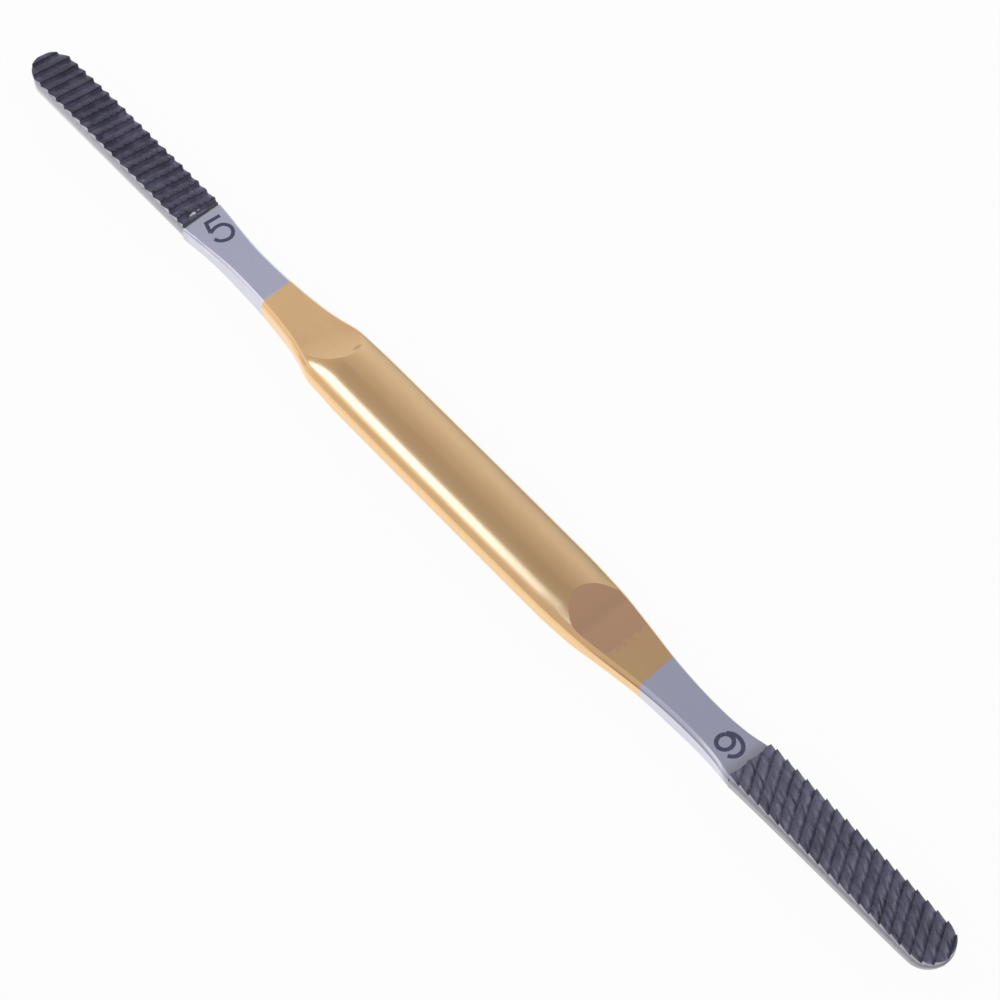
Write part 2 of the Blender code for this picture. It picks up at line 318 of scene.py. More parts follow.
class Arch:
    """A crowned arch with filleted corners, as a curve over the share of its length from the near wall."""

    def __init__(self, width, corner, crown, radius):
        self.width = width
        self.radius = radius
        self.crown_radius = (width**2 + crown**2) / (2 * crown)
        self.middle = corner + crown - self.crown_radius
        self.reach = math.sqrt((self.crown_radius - radius) ** 2 - (width - radius) ** 2)
        self.meeting = math.atan2(width - radius, self.reach)
        self.fillet = radius * (math.pi / 2 - self.meeting)
        self.crowned = 2 * self.crown_radius * self.meeting
        self.length = 2 * self.fillet + self.crowned

    def at(self, share):
        """(y, z) of the point at this share of the arch's length."""
        run = share * self.length
        if run < self.fillet or run > self.length - self.fillet:
            side = -1.0 if run < self.fillet else 1.0
            walked = run if side < 0 else self.length - run
            angle = math.pi / 2 - walked / self.radius
            across = self.width - self.radius + self.radius * math.sin(angle)
            return side * across, self.middle + self.reach + self.radius * math.cos(angle)
        angle = (run - self.length / 2) / self.crown_radius
        return self.crown_radius * math.sin(angle), self.middle + self.crown_radius * math.cos(angle)


def ground_span(arch, height, away):
    """The shares of the arch between which it is ground away, or the share at which grinding would begin.

    Away is how nearly (0 to 1) the section lies beyond the facets, where that share becomes the middle.
    """
    samples = 240
    over = []
    for step in range(samples + 1):
        y, z = arch.at(step / samples)
        over.append(z - height(y))
    top = max(range(samples + 1), key=lambda step: over[step])
    if over[top] <= 0.0:
        share = mix(top / samples, 0.5, away)
        return share, share, False
    first = next(step for step in range(samples + 1) if over[step] > 0.0)
    last = next(step for step in range(samples, -1, -1) if over[step] > 0.0)
    found = []
    for inside, outside in ((first, max(first - 1, 0)), (last, min(last + 1, samples))):
        low, high = outside / samples, inside / samples
        for _ in range(30):
            middle = (low + high) / 2
            y, z = arch.at(middle)
            if z > height(y):
                high = middle
            else:
                low = middle
        found.append((low + high) / 2)
    return found[0], found[1], True


# The body as a loft


FILLET_POINTS = 10
CROWN_POINTS = 8
FLAT_POINTS = 10
WALL_SUPPORT = 0.12 * MM
SHARP_ANGLE = math.radians(30.0)
MERGE_REACH = 0.0005 * MM
DEGENERATE_REACH = 0.0002 * MM


def ground_arch(arch, height, away):
    """(points, ground): the arch from the near wall to the far one, cut off above the ground surface."""
    start, stop, ground = ground_span(arch, height, away)
    fillet = arch.fillet / arch.length
    near_end, far_start = min(fillet, start), max(1.0 - fillet, stop)
    shares = [mix(0.0, near_end, step / FILLET_POINTS) for step in range(FILLET_POINTS)]
    shares += [mix(near_end, start, step / CROWN_POINTS) for step in range(CROWN_POINTS + 1)]
    far_shares = [mix(stop, far_start, step / CROWN_POINTS) for step in range(CROWN_POINTS)]
    far_shares += [mix(far_start, 1.0, step / FILLET_POINTS) for step in range(FILLET_POINTS + 1)]
    near, far = arch.at(start)[0], arch.at(stop)[0]
    flat = []
    for step in range(1, FLAT_POINTS):
        y = mix(near, far, step / FLAT_POINTS)
        flat.append((y, height(y)) if ground else arch.at(mix(start, stop, step / FLAT_POINTS)))
    points = [arch.at(share) for share in shares] + flat + [arch.at(share) for share in far_shares]
    return [(y, min(z, height(y))) for y, z in points], ground


RIDGES = (FILLET_POINTS + CROWN_POINTS, FILLET_POINTS + CROWN_POINTS + FLAT_POINTS)


def ring(x, blade):
    """The outline of the ground body, cut across at x, and whether its top and underside are ground."""
    width = half_width(x, blade)
    share = neck_share(x)
    crown = max(mix(CROWN, NECK_CROWN, share) * min(width / CROWNED_WIDTH, 1.0), NARROWEST / 4)
    radius = edge_radius(x, width)
    top_corner = mix(UPPER_CORNER, end_at(x).neck_corner, share)
    low_corner = mix(LOWER_CORNER, underside(x) + NECK_CROWN - NECK_GRIND, share)
    away = 1.0 - smoothstep(abs(x), FACETS_FAR, FACETS_NEAR)
    upper, lower = Arch(width, top_corner, crown, radius), Arch(width, -low_corner, crown, radius)
    top, top_ground = ground_arch(upper, lambda y: ground_top(x, y, blade), away)
    under, under_ground = ground_arch(lower, lambda y: -ground_underside(x), away)
    high, low = top[0][1], -under[0][1]
    support = min(WALL_SUPPORT, (high - low) / 4)
    wall = [(width, high - support), (width, low + support)]
    outline = top + wall + [(y, -z) for y, z in reversed(under)] + [(-y, z) for y, z in reversed(wall)]
    return outline, top_ground, under_ground


def places():
    """The sections' (x, blade) from tip to tip, closest where the facets run out and at the tips."""
    found = []
    for end in (END_5, END_6):
        base, tip_start = seat_start(end), BLADE_END - end.tip_cap
        facet = 20.0 * MM
        distances = evenly(0.0, facet, 1.0 * MM) + evenly(facet, 40.0 * MM, 0.125 * MM)
        distances += evenly(40.0 * MM, base, 0.4 * MM) + [base]
        beyond = evenly(base, tip_start, 1.0 * MM)
        steps = 26
        beyond += [tip_start + end.tip_cap * math.sin(math.pi / 2 * step / steps) for step in range(steps)]
        beyond.append(BLADE_END - NARROWEST / 10)
        one_side = [(end.side * distance, False) for distance in distances]
        one_side += [(end.side * distance, True) for distance in beyond]
        found.append(one_side)
    return list(reversed(found[0])) + found[1][1:]


def mark_sharp(form, first, second):
    edge = form.edges.get((first, second))
    if edge:
        edge.smooth = False


def mark_ridge(form, first, second, index):
    """Marks the edge from ring to ring at that point, and those of the points that fall together with it."""
    for i in range(len(first)):
        together = (first[i].co - first[index].co).length < MERGE_REACH
        if together and (second[i].co - second[index].co).length < MERGE_REACH:
            mark_sharp(form, first[i], second[i])


def body_mesh():
    form = bmesh.new()
    sections = [(x, blade, *ring(x, blade)) for x, blade in places()]
    rings = [[form.verts.new((x, y, z)) for y, z in outline] for x, _, outline, _, _ in sections]
    count = len(rings[0])
    for first, second in zip(rings, rings[1:]):
        for i in range(count):
            j = (i + 1) % count
            form.faces.new((first[i], first[j], second[j], second[i])).smooth = True
    form.faces.new(rings[0])
    form.faces.new(list(reversed(rings[-1])))
    under_ridges = [count - 3 - index for index in RIDGES]
    for k in range(len(rings) - 1):
        here, there = sections[k], sections[k + 1]
        step = here[0] == there[0]
        if here[3] and there[3]:
            for index in RIDGES:
                mark_ridge(form, rings[k], rings[k + 1], index)
        if here[4] and there[4]:
            for index in under_ridges:
                mark_ridge(form, rings[k], rings[k + 1], index)
        if step:
            for i in range(count):
                mark_sharp(form, rings[k][i], rings[k][(i + 1) % count])
                mark_sharp(form, rings[k + 1][i], rings[k + 1][(i + 1) % count])
    bmesh.ops.remove_doubles(form, verts=form.verts, dist=MERGE_REACH)
    bmesh.ops.dissolve_degenerate(form, edges=form.edges, dist=DEGENERATE_REACH)
    bmesh.ops.recalc_face_normals(form, faces=form.faces)
    for edge in form.edges:
        if edge.calc_face_angle(0.0) > SHARP_ANGLE:
            edge.smooth = False
    return mesh_from("file_body_visual", form)


# The rasp plates


ROW_STATIONS = 28
ROW_WANDER = 0.035 * MM
CREST_WEAR = 0.035 * MM
CREST_LAND = 0.14 * MM
BACK_BEND = 0.6  # where a tooth's back bends, as a share of the pitch


def plate_outline(end, inset=0.0, steps=24):
    """Outline of a plate seen from above, from the step of its seat to the tool's end."""
    base = seat_start(end) + BRAZE_GAP
    tip_start = HALF_LENGTH - end.tip_cap
    distances = evenly(base, tip_start, 2.0 * MM)
    distances += [tip_start + end.tip_cap * math.sin(math.pi / 2 * step / steps) for step in range(steps)]
    near = []
    for distance in distances:
        width = half_width(end.side * distance, True, HALF_LENGTH - inset) - inset
        near.append((end.side * distance, max(width, NARROWEST)))
    near = [point for point in near if abs(point[0]) < HALF_LENGTH - inset - NARROWEST]
    edge = near + [(end.side * (HALF_LENGTH - inset), 0.0)]
    return edge + [(x, -width) for x, width in reversed(near)]


def extruded(name, outline, lift):
    form = bmesh.new()
    base = form.faces.new([form.verts.new(point) for point in outline])
    grown = bmesh.ops.extrude_face_region(form, geom=[base])
    moved = [item for item in grown["geom"] if isinstance(item, bmesh.types.BMVert)]
    bmesh.ops.translate(form, verts=moved, vec=lift)
    bmesh.ops.recalc_face_normals(form, faces=form.faces)
    return mesh_from(name, form)


def crest_height(end, distance):
    into_relief = (distance - (HALF_LENGTH - end.relief_length)) / end.relief_length
    return end.crest - end.tip_relief * min(max(into_relief, 0.0), 1.0)


def tooth_rows(end, chance):
    """The saw-shaped comb that cuts the rows, each a little off in height and place.

    Every tooth is drawn at several stations across the plate, so that its crest wanders slightly.
    """
    deepest = SEAT_TOP + BRAZE_GAP + PLATE_WEB
    front = TOOTH_DEPTH * math.tan(TOOTH_FRONT_LEAN)
    slant = math.tan(end.tooth_angle)
    reach = end.blade_width
    clear = end.crest + CUT_CLEARANCE
    start = seat_start(end) - abs(slant) * reach - TOOTH_PITCH + end.first_tooth
    count = math.ceil((HALF_LENGTH + abs(slant) * reach + TOOTH_PITCH - start) / TOOTH_PITCH)
    form = bmesh.new()
    stations = []
    for step in range(ROW_STATIONS + 1):
        across = mix(reach, -reach, step / ROW_STATIONS)
        profile = []
        for tooth in range(count + 1):
            wander = chance.gauss(0.0, ROW_WANDER)
            distance = start + tooth * TOOTH_PITCH + wander
            high = crest_height(end, distance) - abs(chance.gauss(0.0, CREST_WEAR))
            low = max(high - TOOTH_DEPTH + chance.gauss(0.0, CREST_WEAR), deepest)
            profile += [(distance, low), (distance + front, high)]
            profile.append((distance + front + CREST_LAND, high - CREST_LAND / 5))
            back = mix(high, low, BACK_BEND) + chance.gauss(0.0, CREST_WEAR)
            profile.append((distance + TOOTH_PITCH * BACK_BEND, back))
        profile.append((profile[-1][0] + TOOTH_PITCH / 2, clear))
        profile.append((start - TOOTH_PITCH, clear))
        stations.append([form.verts.new((end.side * d - slant * across, across, z)) for d, z in profile])
    for first, second in zip(stations, stations[1:]):
        for i in range(len(first)):
            j = (i + 1) % len(first)
            form.faces.new((first[i], first[j], second[j], second[i]))
    form.faces.new(stations[0])
    form.faces.new(list(reversed(stations[-1])))
    bmesh.ops.recalc_face_normals(form, faces=form.faces)
    return mesh_from(f"tooth_rows_{end.number}", form)


def cross_cuts(end, chance):
    """The comb of V cuts, nearly along the tool, that parts the rows into single teeth."""
    middle = end.side * (HALF_LENGTH - end.blade_length / 2)
    reach = end.blade_length
    along = (math.cos(CROSS_CUT_ANGLE), math.sin(CROSS_CUT_ANGLE))
    spread = end.blade_width / 2 + reach / 2 * math.sin(CROSS_CUT_ANGLE)
    count = math.ceil(2 * spread / CROSS_CUT_PITCH)
    clear = end.crest + CUT_CLEARANCE
    start = -count * CROSS_CUT_PITCH / 2
    land = end.crest + CROSS_CUT_LAND
    half = CROSS_CUT_WIDTH / 2
    profile = []
    for groove in range(count):
        across = start + (groove + 0.5) * CROSS_CUT_PITCH + chance.uniform(-0.1, 0.1) * MM
        depth = end.cross_cut_depth * chance.uniform(0.6, 1.15)
        profile += [(across - half, land), (across, end.crest - depth), (across + half, land)]
    profile += [(-start, land), (-start, clear), (start, clear), (start, land)]
    outline = []
    for across, height in profile:
        x = middle - along[0] * reach - along[1] * across
        y = -along[1] * reach + along[0] * across
        outline.append((x, y, height))
    return extruded(f"cross_cuts_{end.number}", outline, (2 * along[0] * reach, 2 * along[1] * reach, 0.0))


def plate_mesh(end, side_finish, cut_finish):
    """The plate: a blank ground along its sides, with its teeth cut. Cut faces take the cutters' finish."""
    chance = random.Random(end.number)
    floor = SEAT_TOP + BRAZE_GAP
    outline = [(x, y, floor) for x, y in plate_outline(end)]
    lift = (0.0, 0.0, end.crest + BLANK_CLEARANCE - floor)
    blank = made("blank", extruded("blank", outline, lift), side_finish)
    cutters = []
    for mesh in (tooth_rows(end, chance), cross_cuts(end, chance)):
        cutter = made(mesh.name, mesh, cut_finish)
        cutters.append(cutter)
        modifier = blank.modifiers.new(mesh.name, "BOOLEAN")
        modifier.operation = "DIFFERENCE"
        modifier.solver = "EXACT"
        modifier.material_mode = "TRANSFER"
        modifier.object = cutter
    bpy.context.view_layer.update()
    evaluated = blank.evaluated_get(bpy.context.evaluated_depsgraph_get())
    mesh = bpy.data.meshes.new_from_object(evaluated)
    for helper in cutters + [blank]:
        bpy.data.objects.remove(helper)
    return mesh


FILLET_INSET = 0.15 * MM
FILLET_DROP = 0.06 * MM  # below the flat of the neck, at least and by chance
FILLET_SLOPE = 0.05 * MM


def base_fillet(end):
    """The solder that stands, unevenly, in the joint between the neck and the plate's base."""
    chance = random.Random(20 + end.number)
    start = end.side * seat_start(end)
    width = end.blade_width / 2 - FILLET_INSET
    form = bmesh.new()
    rows = []
    steps = 30
    for step in range(steps + 1):
        y = mix(-width, width, step / steps)
        top = NECK_TOP - FILLET_DROP - abs(chance.gauss(0.0, FILLET_DROP))
        reach = BRAZE_GAP * chance.uniform(0.9, 1.0)
        profile = ((0.0, SEAT_TOP), (0.0, top), (reach, top - FILLET_SLOPE), (reach, SEAT_TOP))
        rows.append([form.verts.new((start + end.side * x, y, z)) for x, z in profile])
    for first, second in zip(rows, rows[1:]):
        for i in range(4):
            j = (i + 1) % 4
            form.faces.new((first[i], first[j], second[j], second[i])).smooth = True
    form.faces.new(rows[0])
    form.faces.new(rows[-1])
    bmesh.ops.recalc_face_normals(form, faces=form.faces)
    return mesh_from(f"solder_fillet_{end.number}", form)


# Beads on the narrower rasp, as (distance from the joint, place across, radius) in millimetres
SOLDER_BEADS = ((1.35, 1.15, 0.20), (1.05, 0.25, 0.14), (1.00, -0.75, 0.30), (0.95, -1.25, 0.22))
BEAD_SINK = 0.2  # how far the beads lie below the crests, as a share of the teeth's depth
BEAD_STRETCH = (0.9, 1.5, 0.8, 1.0)


def solder_beads(end, beads):
    """Beads of solder that ran from the joint onto the first row of teeth."""
    form = bmesh.new()
    for into, across, radius in beads:
        x = end.side * (seat_start(end) + into * MM)
        z = end.crest - TOOTH_DEPTH * (BEAD_SINK + into * MM / TOOTH_PITCH)
        stretch = Matrix.Diagonal(BEAD_STRETCH)
        spot = Matrix.Translation((x, across * MM, z))
        bmesh.ops.create_icosphere(form, subdivisions=2, radius=radius * MM, matrix=spot @ stretch)
    for face in form.faces:
        face.smooth = True
    return mesh_from(f"solder_beads_{end.number}", form)


# Number marks


# Centre lines of the digits' strokes, as (across, up) in millimetres from the digit's middle
FIVE_BAR = ((1.70, 2.06), (-0.88, 2.24), (-1.50, 0.30))
FIVE_BOWL = (
    (-1.50, 0.30),
    (-0.30, 0.68),
    (1.00, 0.43),
    (1.64, -0.62),
    (1.36, -1.71),
    (0.43, -2.32),
    (-0.64, -2.19),
    (-1.40, -1.69),
    (-1.76, -0.96),
)
FIVE_STROKE = 0.62 * MM
SIX_BOWL_CENTRE, SIX_BOWL_RADII = (0.29, -0.80), (1.32, 1.23)
SIX_STEM_CENTRE, SIX_STEM_RADII = (0.05, 0.0), (1.74, 2.07)
SIX_STROKE = 0.66 * MM
FIVE_PLACE = (-59.2 * MM, 0.58 * MM)
SIX_PLACE = (59.8 * MM, -0.2 * MM)
MARK_THICKNESS = 0.008 * MM
MARK_LAYER = 0.002 * MM  # between strokes that cross, so that none lies in another's face


def curved(points, steps):
    """A smooth line through the points."""
    ends = [points[0], *points, points[-1]]
    line = []
    for a, b, c, d in zip(ends, ends[1:], ends[2:], ends[3:]):
        for step in range(steps):
            t = step / steps
            spot = []
            for i in (0, 1):
                square = (2 * a[i] - 5 * b[i] + 4 * c[i] - d[i]) * t**2
                cube = (3 * b[i] - 3 * c[i] + d[i] - a[i]) * t**3
                spot.append((2 * b[i] + (c[i] - a[i]) * t + (square + cube)) / 2)
            line.append(tuple(spot))
    return line + [points[-1]]


def ellipse(centre, radii, start, stop, steps):
    angles = [math.radians(mix(start, stop, step / steps)) for step in range(steps + 1)]
    return [(centre[0] + radii[0] * math.cos(a), centre[1] + radii[1] * math.sin(a)) for a in angles]


def ribbon_sides(points, width):
    """The points of both sides of a ribbon along the line, with mitred corners."""
    left, right = [], []
    for i, point in enumerate(points):
        here = Vector(point)
        before = here - Vector(points[i - 1]) if i else Vector(points[1]) - here
        after = Vector(points[i + 1]) - here if i + 1 < len(points) else before
        first, second = before.normalized().orthogonal(), after.normalized().orthogonal()
        mitre = (first + second).normalized()
        offset = mitre * width / 2 / max(mitre.dot(first), 0.5)
        left.append(here + offset)
        right.append(here - offset)
    return left, right


def mark_mesh(name, strokes, width, place, turn):
    """Thin ribbons along the strokes, laid on the flat of the neck."""
    form = bmesh.new()
    for layer, points in enumerate(strokes):
        left, right = ribbon_sides([(u * MM, v * MM) for u, v in points], width)
        rows = []
        for side in (left, right):
            spots = [Matrix.Rotation(turn, 2) @ point + Vector(place) for point in side]
            for height in (NECK_TOP, NECK_TOP + MARK_THICKNESS + layer * MARK_LAYER):
                rows.append([form.verts.new((spot.x, spot.y, height)) for spot in spots])
        loop = (rows[0], rows[1], rows[3], rows[2])
        for i in range(len(points) - 1):
            for first, second in zip(loop, loop[1:] + loop[:1]):
                form.faces.new((first[i], first[i + 1], second[i + 1], second[i]))
        for i in (0, -1):
            form.faces.new([row[i] for row in loop])
    bmesh.ops.recalc_face_normals(form, faces=form.faces)
    return mesh_from(name, form)


# Materials


class Nodes:
    """A short way to build the node tree of a material, or of the world."""

    def __init__(self, owner, shader="Principled BSDF"):
        owner.use_nodes = True
        self.owner = owner
        self.tree = owner.node_tree
        self.shader = self.tree.nodes[shader]

    def add(self, kind, inputs=None, **settings):
        node = self.tree.nodes.new(kind)
        for key, value in settings.items():
            setattr(node, key, value)
        for key, value in (inputs or {}).items():
            self.put(node.inputs[key], value)
        return node

    def put(self, socket, value):
        if isinstance(value, bpy.types.NodeSocket):
            self.tree.links.new(value, socket)
        else:
            socket.default_value = value

    def math(self, operation, *values):
        node = self.add("ShaderNodeMath", operation=operation)
        for socket, value in zip(node.inputs, values):
            self.put(socket, value)
        return node.outputs[0]

    def between(self, value, low, high, to_low=0.0, to_high=1.0):
        inputs = {"Value": value, "From Min": low, "From Max": high, "To Min": to_low, "To Max": to_high}
        return self.add("ShaderNodeMapRange", inputs, clamp=True, interpolation_type="SMOOTHSTEP").outputs[0]

    def along(self, value, low, high, to_low, to_high):
        inputs = {"Value": value, "From Min": low, "From Max": high, "To Min": to_low, "To Max": to_high}
        return self.add("ShaderNodeMapRange", inputs, clamp=True).outputs[0]

    def place(self):
        """The object's own coordinates."""
        return self.add("ShaderNodeTexCoord").outputs["Object"]

    def facing(self):
        """The direction that the surface faces, as its X, Y and Z."""
        normal = self.add("ShaderNodeNewGeometry").outputs["Normal"]
        return self.add("ShaderNodeSeparateXYZ", {"Vector": normal}).outputs

    def noise(self, place, stretch, detail, roughness):
        """Noise over the object's own coordinates. Stretch is the cells in a metre along X, Y and Z."""
        scaled = self.add("ShaderNodeMapping", {"Vector": place, "Scale": stretch}).outputs[0]
        inputs = {"Vector": scaled, "Scale": 1.0, "Detail": detail, "Roughness": roughness}
        return self.add("ShaderNodeTexNoise", inputs).outputs["Fac"]

    def blend(self, share, first, second, kind="MIX"):
        node = self.add("ShaderNodeMix", data_type="RGBA", blend_type=kind)
        self.put(node.inputs[0], share)
        self.put(node.inputs[6], first)
        self.put(node.inputs[7], second)
        return node.outputs[2]

    def ramp(self, value, stops):
        """A level between 0 and 1 for a value from -1 to 1, through stops (value, level)."""
        share = self.add("ShaderNodeMapRange", {"Value": value, "From Min": -1.0}).outputs[0]
        node = self.add("ShaderNodeValToRGB", {0: share})
        elements = node.color_ramp.elements
        while len(elements) < len(stops):
            elements.new(0.5)
        for element, (at, level) in zip(elements, stops):
            element.position = (at + 1.0) / 2
            element.color = (level, level, level, 1.0)
        return node.outputs[0]

    def bump(self, height, distance, strength, normal=None):
        inputs = {"Height": height, "Distance": distance, "Strength": strength}
        if normal:
            inputs["Normal"] = normal
        return self.add("ShaderNodeBump", inputs).outputs[0]

    def finish(self, **inputs):
        for key, value in inputs.items():
            self.put(self.shader.inputs[key.replace("_", " ")], value)
        return self.owner


def colour(red, green, blue):
    return (red, green, blue, 1.0)


STEEL = colour(0.68, 0.68, 0.76)
DULLER_STEEL = colour(0.65, 0.65, 0.735)
GOLD = colour(0.93, 0.595, 0.262)
DEEPER_GOLD = colour(0.90, 0.56, 0.245)
BROWN_GOLD = colour(0.83, 0.495, 0.262)
# painted highlight: the paler colour painted on the bevel of the narrower rasp's neck
PAINTED_EDGE_HIGHLIGHT = colour(0.86, 0.84, 0.88)
# painted shade: the near-black mixed into the wall of the wider rasp's neck
PAINTED_SHADE_DARK = colour(0.0, 0.0, 0.01)
# painted shade: the dark brown of the streak along the facet's far edge by the narrower rasp
EDGE_SHADE_BROWN = colour(0.30, 0.20, 0.12)
BLADE_SIDE_5 = colour(0.64, 0.62, 0.61)
# painted shade: the wider rasp's blade side is a darker copy of the narrower one's ground steel
SHADED_BLADE_SIDE_6 = colour(0.46, 0.455, 0.465)
# painted shade: the wider rasp's ground plate sides are darkened by this share
SHADED_SIDE_SHARE = colour(0.76, 0.75, 0.76)  # what the wider rasp's ground side keeps of the other's brightness


MASK_SLANT = 0.07  # how much the plating's edge is turned on the neck
MASK_SHIFT = 0.3 * MM  # how much nearer it is on the side of the wider rasp
WALL_TURN = 0.85
EDGE_WANDER = 0.12 * MM
STAIN_WANDER = 0.7 * MM
# place and stretch of that painted shade streak
EDGE_SHADE_PLACE = (-27.95 * MM, 2.65 * MM, 5.95 * MM)
EDGE_SHADE_STRETCH = (2600.0, 900.0, 900.0)

# Where one stretch of the tool passes into the next, as (from, to) along X
NARROW_BLADE = (-64.0 * MM, -61.0 * MM)
NARROW_SHOULDER = (-38.0 * MM, -30.0 * MM)
WIDE_SHOULDER = (31.0 * MM, 39.0 * MM)
WIDE_BLADE = (61.0 * MM, 64.0 * MM)

# Where a finish sets in or runs out, as (from, to) along X or in height
HANDLE_WALL = (3.2 * MM, 5.1 * MM)
HANDLE_EDGE = (4.9 * MM, 5.5 * MM)
NECK_BEVEL = (3.9 * MM, 4.2 * MM)
BLADE_WALL = (3.2 * MM, 4.2 * MM)
BLADE_WALL_LIFT = 0.8 * MM  # how much higher that is on the wider rasp
STAIN_INNER, STAIN_OUTER = (20.0 * MM, 24.0 * MM), (36.9 * MM, 37.9 * MM)
STAIN_SETTLED = (31.0 * MM, 31.6 * MM)
STAIN_HEIGHT = (5.3 * MM, 5.5 * MM)


def turned_up(n, upward, sideways=0.0):
    """The surface's normals, turned up and along the tool by these shares of their own length."""
    turn = n.add("ShaderNodeCombineXYZ", {0: sideways, 2: upward}).outputs[0]
    spaces = {"vector_type": "VECTOR", "convert_from": "OBJECT", "convert_to": "WORLD"}
    turn = n.add("ShaderNodeVectorTransform", {0: turn}, **spaces).outputs[0]
    normal = n.add("ShaderNodeNewGeometry").outputs["Normal"]
    turned = n.add("ShaderNodeVectorMath", {0: normal, 1: turn}, operation="ADD").outputs[0]
    return n.add("ShaderNodeVectorMath", {0: turned}, operation="NORMALIZE").outputs[0]


def fuller_walls(n, x, z):
    """Normals of the body with its walls turned up by degrees towards their upper edge, as a fuller side has.

    The sides are taken to bulge like this from the handle to the neck of the wider rasp and on both blades.
    The walls themselves stay flat. The shoulder by the narrower rasp is taken to be a trace hollow.
    """
    rise = n.along(z, *HANDLE_WALL, 0.0, 1.05)
    handle = n.math("MULTIPLY", rise, n.between(z, *HANDLE_EDGE, 1.0, 0.0))
    bevel = n.along(z, 4.9 * MM, NECK_TOP, 1.0, -0.25)
    neck = n.math("MULTIPLY", bevel, n.between(z, *NECK_BEVEL))
    up = n.math("SUBTRACT", z, n.between(x, 0.0, 60.0 * MM, 0.0, BLADE_WALL_LIFT))
    blade = n.along(up, *BLADE_WALL, 0.5, WALL_TURN)
    on_neck = n.between(x, *WIDE_SHOULDER)
    on_blade = n.between(n.math("ABSOLUTE", x), *WIDE_BLADE)
    fuller = n.math("ADD", handle, n.math("MULTIPLY", on_neck, n.math("SUBTRACT", neck, handle)))
    fuller = n.math("MULTIPLY", fuller, n.between(x, *NARROW_SHOULDER))
    fuller = n.math("ADD", fuller, n.math("MULTIPLY", on_blade, n.math("SUBTRACT", blade, fuller)))
    hollow = n.between(x, -44.6 * MM, -44.0 * MM, 0.0, -0.075)
    return turned_up(n, fuller, n.math("MULTIPLY", hollow, n.between(x, -32.5 * MM, -29.5 * MM, 1.0, 0.0)))


def plating_mask(n, x, y, ragged):
    """The gold-plated middle, whose ragged edges are turned a little."""
    wander = n.between(ragged, 0.3, 0.7, -EDGE_WANDER, EDGE_WANDER)
    reach = n.math("ADD", n.math("ABSOLUTE", n.math("MULTIPLY_ADD", y, MASK_SLANT, x)), wander)
    reach = n.math("ADD", reach, n.between(x, 0.0, 10.0 * MM, 0.0, MASK_SHIFT))
    edge = PLATED_LENGTH / 2
    return n.between(reach, edge - 0.35 * MM, edge + 0.15 * MM, 1.0, 0.0)


def stain_mask(n, x, z, ragged):
    """The brown stain on the facet by the wider rasp, which ends raggedly on the neck."""
    stain_place = n.math("ADD", x, n.between(ragged, 0.3, 0.7, -STAIN_WANDER, STAIN_WANDER))
    stain = n.math("MULTIPLY", n.between(stain_place, *STAIN_OUTER, 1.0, 0.0), n.between(x, *STAIN_INNER))
    facing = n.facing()
    level = n.between(facing["Z"], 0.965, 0.985)
    ground = n.math("MAXIMUM", n.between(facing["X"], 0.01, 0.03), n.between(x, *STAIN_SETTLED))
    stain = n.math("MULTIPLY", stain, n.math("MULTIPLY", level, ground))
    return n.math("MULTIPLY", stain, n.between(z, *STAIN_HEIGHT))


def painted_bevel_highlight(n, x, z):
    """Painted highlight: a paler band painted along the bevel of the narrower rasp's neck."""
    pale_share = n.math("MULTIPLY", n.between(z, 5.05 * MM, 5.25 * MM), n.between(z, NECK_TOP, 5.65 * MM))
    pale_share = n.math("MULTIPLY", pale_share, n.between(x, -60.0 * MM, -57.0 * MM))
    return n.math("MULTIPLY", pale_share, n.between(x, -44.0 * MM, -40.0 * MM, 1.0, 0.0))


def painted_neck_shade(n, x, z):
    """Painted shade: a dark band painted along the upper wall and bevel of the wider rasp's neck, darkest low
    down.
    """
    shade = n.along(z, 4.3 * MM, 5.1 * MM, 0.38, 0.03)
    shade = n.math("MULTIPLY", shade, n.between(z, 4.05 * MM, 4.25 * MM))
    shade = n.math("MULTIPLY", shade, n.between(x, 33.0 * MM, 40.0 * MM))
    return n.math("MULTIPLY", shade, n.between(x, 60.0 * MM, 63.0 * MM, 1.0, 0.0))


def painted_edge_shade_mask(n, place):
    """Painted shade: a small dark streak painted along the far edge of the facet by the narrower rasp."""
    edge_shade = n.add("ShaderNodeVectorMath", {0: place, 1: EDGE_SHADE_PLACE}, operation="SUBTRACT").outputs[0]
    edge_shade = n.add("ShaderNodeVectorMath", {0: edge_shade, 1: EDGE_SHADE_STRETCH}, operation="MULTIPLY").outputs[0]
    edge_shade = n.add("ShaderNodeVectorMath", {0: edge_shade}, operation="LENGTH").outputs["Value"]
    return n.between(edge_shade, 0.4, 1.1, 0.45, 0.0)


